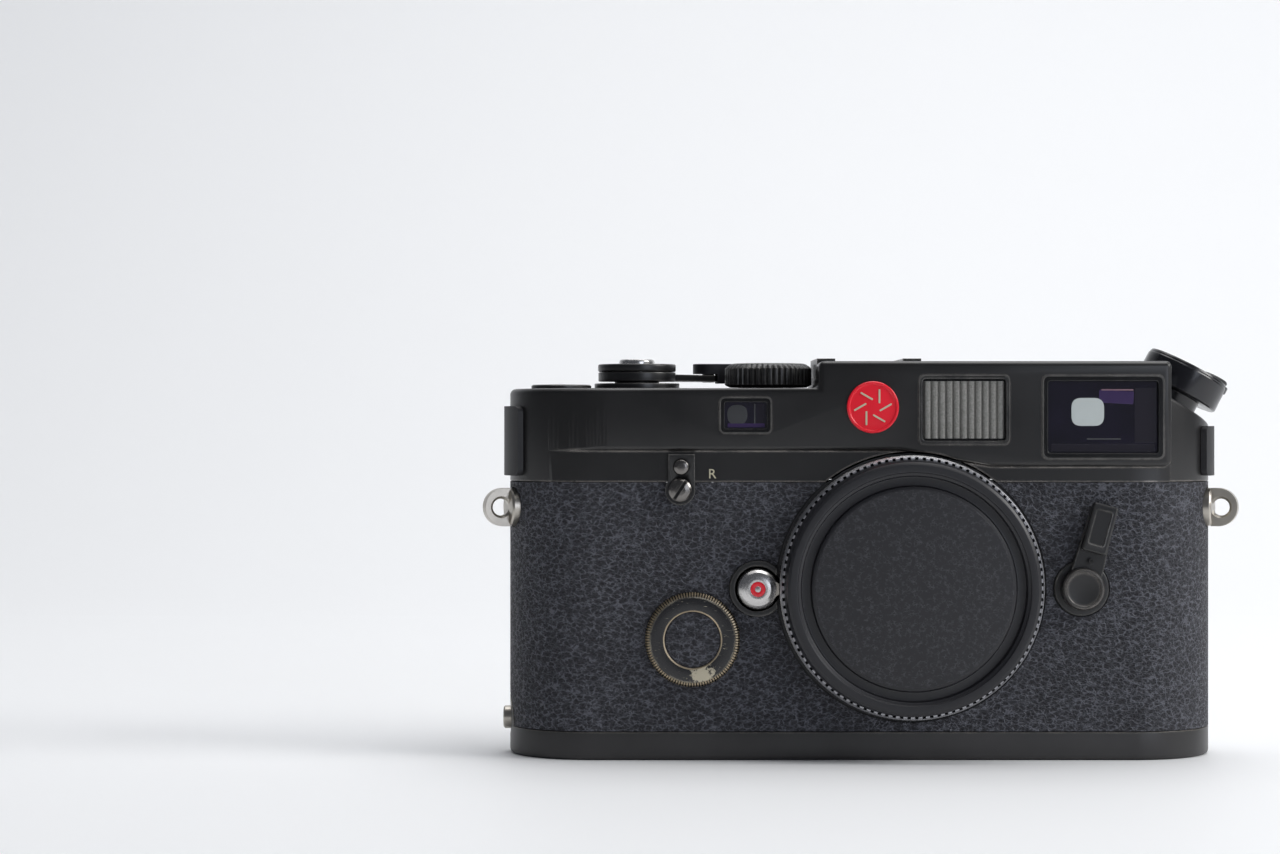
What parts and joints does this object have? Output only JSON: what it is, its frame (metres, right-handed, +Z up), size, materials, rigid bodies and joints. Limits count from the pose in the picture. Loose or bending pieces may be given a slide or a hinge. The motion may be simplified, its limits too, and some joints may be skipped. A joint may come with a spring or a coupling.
{
  "type": "rangefinder camera",
  "caption": "Black film rangefinder camera body with a body cap over its lens mount, a lever advance and a slanted rewind knob.",
  "frame": {"origin": "centre of the body's outline on the underside of the base plate", "axes": "+X to the right of someone who looks at the front, +Y from the front to the back, +Z up"},
  "size_m": [0.1482, 0.0434, 0.0798],
  "materials": {
    "black_metal": "satin black lacquer, lightly worn at the edges",
    "cover_brass": "satin black lacquer over brass, lightly worn",
    "base_brass": "satin black lacquer over brass, lightly worn",
    "leather": "coarse pebbled grain, satin",
    "black_plastic": "fine grain, semi matt",
    "chrome": "satin",
    "steel": "brushed",
    "dark_steel": "dark, polished",
    "casting": "black painted casting",
    "spring_brass": "bright",
    "glass": "coated, polished",
    "frosted": "ridged and frosted",
    "red_enamel": "glossy enamel",
    "circuit_board": "lacquered board",
    "cloth": "rubberised cloth"
  },
  "bodies": {
    "body": {"body_shell": "casting", "leather_covering": "leather", "top_cover": "cover_brass", "rangefinder_window_frame": "black_plastic", "rangefinder_window_glass": "glass", "illumination_window": "frosted", "viewfinder_frame": "black_plastic", "viewfinder_glass": "glass", "badge": "red_enamel", "eyepiece_frame": "black_metal", "eyepiece_lens": "glass", "flash_socket_1": "chrome", "flash_socket_2": "chrome", "hot_shoe": "black_metal", "hot_shoe_contact": "black_plastic", "finder_block": "black_plastic", "rangefinder_prism": "glass", "meter_board": "circuit_board", "lens_mount_flange": "chrome", "lens_release_guard": "black_metal", "battery_cell": "steel", "battery_chamber": "black_plastic", "rewind_release_screw": "dark_steel", "strap_lug_left": "steel", "strap_lug_right": "steel", "strap_guard_left": "black_plastic", "strap_guard_right": "black_plastic", "advance_hub": "black_metal", "advance_hub_cap": "black_metal", "frame_counter_window": "glass", "shutter_curtain": "cloth", "door_hinge_pin": "steel", "catch_stud": "chrome"},
    "advance_lever": {"advance_lever": "black_metal"},
    "lever_tip": {"advance_lever_tip": "black_plastic"},
    "release_button": {"shutter_release_button": "chrome"},
    "speed_dial": {"shutter_speed_dial": "black_metal"},
    "counter_disc": {"frame_counter_disc": "black_metal"},
    "rewind_knob": {"rewind_knob": "black_metal"},
    "rewind_crank": {"rewind_crank": "black_metal"},
    "rewind_fork": {"rewind_fork": "dark_steel"},
    "rewind_release": {"rewind_release_lever": "black_metal"},
    "frame_selector": {"frame_selector_lever": "black_metal"},
    "lens_release": {"lens_release_button": "chrome"},
    "battery_cover": {"battery_cover": "black_metal", "battery_cover_leather": "leather"},
    "body_cap": {"body_cap": "black_plastic"},
    "back_door": {"back_door": "black_metal", "door_leather": "leather", "pressure_plate_spring": "spring_brass"},
    "film_speed_dial": {"film_speed_dial": "black_plastic"},
    "pressure_plate": {"pressure_plate": "black_metal"},
    "take_up_spool": {"take_up_spool": "black_plastic"},
    "sprocket": {"sprocket_drum": "dark_steel"},
    "curtain_drum": {"curtain_drum": "dark_steel"},
    "curtain_roller": {"curtain_roller": "dark_steel"},
    "roller_arm": {"rangefinder_roller_arm": "dark_steel"},
    "base_plate": {"base_plate": "base_brass", "tripod_bush": "steel"},
    "lock_key": {"base_lock_key": "black_metal"}
  },
  "joints": [
    {"name": "advance_stroke", "type": "hinge", "parent": "body", "child": "advance_lever", "pos_m": [-0.0439, 0, 0.074], "axis": [0, 0, 1], "range_deg": [0, 145], "stiffness_Nm_per_rad": 0.01},
    {"name": "lever_tip_fold", "type": "hinge", "parent": "advance_lever", "child": "lever_tip", "pos_m": [-0.0295, 0.012, 0.075], "axis": [0, 0, 1], "range_deg": [0, 40]},
    {"name": "shutter_release", "type": "slide", "parent": "body", "child": "release_button", "axis": [0, 0, -1], "range_m": [0, 0.002], "stiffness_N_per_m": 300, "springref_m": -0.0005},
    {"name": "speed_dial_turn", "type": "hinge", "parent": "body", "child": "speed_dial", "pos_m": [-0.0179, 0, 0.074], "axis": [0, 0, 1], "range_deg": [-150, 150]},
    {"name": "frame_counter_turn", "type": "hinge", "parent": "body", "child": "counter_disc", "pos_m": [-0.0588, -0.003, 0.069], "axis": [0, 0, 1], "range_deg": [0, 10]},
    {"name": "rewind_turn", "type": "hinge", "parent": "body", "child": "rewind_knob", "pos_m": [0.06158, 0, 0.06862], "axis": [0.4695, 0, 0.8829], "continuous": true},
    {"name": "crank_fold", "type": "hinge", "parent": "rewind_knob", "child": "rewind_crank", "pos_m": [0.06109, 0, 0.07749], "axis": [0, -1, 0], "range_deg": [0, 130]},
    {"name": "rewind_fork_turn", "type": "hinge", "parent": "body", "child": "rewind_fork", "pos_m": [0.0539, 0, 0.05], "axis": [0, 0, 1], "continuous": true},
    {"name": "rewind_release_swing", "type": "hinge", "parent": "body", "child": "rewind_release", "pos_m": [-0.0356, -0.0175, 0.05206], "axis": [0, 1, 0], "range_deg": [0, 60]},
    {"name": "frame_selector_swing", "type": "hinge", "parent": "body", "child": "frame_selector", "pos_m": [0.0417, -0.018, 0.0331], "axis": [0, -1, 0], "range_deg": [0, 36], "stiffness_Nm_per_rad": 0.01, "springref_deg": -5.73},
    {"name": "lens_release_press", "type": "slide", "parent": "body", "child": "lens_release", "axis": [0, 1, 0], "range_m": [0, 0.0015], "stiffness_N_per_m": 400},
    {"name": "battery_cover_lift", "type": "slide", "parent": "body", "child": "battery_cover", "axis": [0, -1, 0], "range_m": [0, 0.012]},
    {"name": "body_cap_twist", "type": "hinge", "parent": "body", "child": "body_cap", "pos_m": [0.00886, -0.02, 0.03336], "axis": [0, -1, 0], "range_deg": [0, 48]},
    {"name": "back_door_swing", "type": "hinge", "parent": "body", "child": "back_door", "pos_m": [-0.008, 0.016, 0.0519], "axis": [1, 0, 0], "range_deg": [0, 100]},
    {"name": "film_speed_turn", "type": "hinge", "parent": "back_door", "child": "film_speed_dial", "pos_m": [-0.00814, 0.017, 0.0295], "axis": [0, 1, 0], "range_deg": [-150, 150]},
    {"name": "pressure_plate_give", "type": "slide", "parent": "back_door", "child": "pressure_plate", "axis": [0, 1, 0], "range_m": [0, 0.0005], "stiffness_N_per_m": 500},
    {"name": "take_up_turn", "type": "hinge", "parent": "body", "child": "take_up_spool", "pos_m": [-0.0566, -0.003, 0.028], "axis": [0, 0, 1], "range_deg": [0, 420]},
    {"name": "sprocket_turn", "type": "hinge", "parent": "body", "child": "sprocket", "pos_m": [-0.0439, 0, 0.028], "axis": [0, 0, 1], "range_deg": [0, 362]},
    {"name": "curtain_drum_turn", "type": "hinge", "parent": "body", "child": "curtain_drum", "pos_m": [-0.0172, 0.0012, 0.028], "axis": [0, 0, 1], "range_deg": [0, 460]},
    {"name": "curtain_roller_turn", "type": "hinge", "parent": "body", "child": "curtain_roller", "pos_m": [0.0336, 0.0026, 0.028], "axis": [0, 0, 1], "range_deg": [0, 820]},
    {"name": "roller_arm_swing", "type": "hinge", "parent": "body", "child": "roller_arm", "pos_m": [0.0185, -0.0113, 0.057], "axis": [0, 0, -1], "range_deg": [0, 10], "stiffness_Nm_per_rad": 0.005},
    {"name": "base_plate_swing", "type": "hinge", "parent": "body", "child": "base_plate", "pos_m": [-0.0683, 0, 0.0116], "axis": [0, 1, 0], "range_deg": [0, 20]},
    {"name": "lock_key_turn", "type": "hinge", "parent": "base_plate", "child": "lock_key", "pos_m": [0.045, 0, 0.001], "axis": [0, 0, 1], "range_deg": [0, 180]}
  ],
  "couplings": [
    {"joint": "sprocket_turn", "follows": "advance_stroke", "ratio": 2.4828},
    {"joint": "take_up_turn", "follows": "advance_stroke", "ratio": 2.88},
    {"joint": "frame_counter_turn", "follows": "advance_stroke", "ratio": 0.0621},
    {"joint": "curtain_drum_turn", "follows": "advance_stroke", "ratio": 3.16},
    {"joint": "curtain_roller_turn", "follows": "advance_stroke", "ratio": 5.64},
    {"joint": "rewind_fork_turn", "follows": "rewind_turn", "ratio": 1}
  ]
}
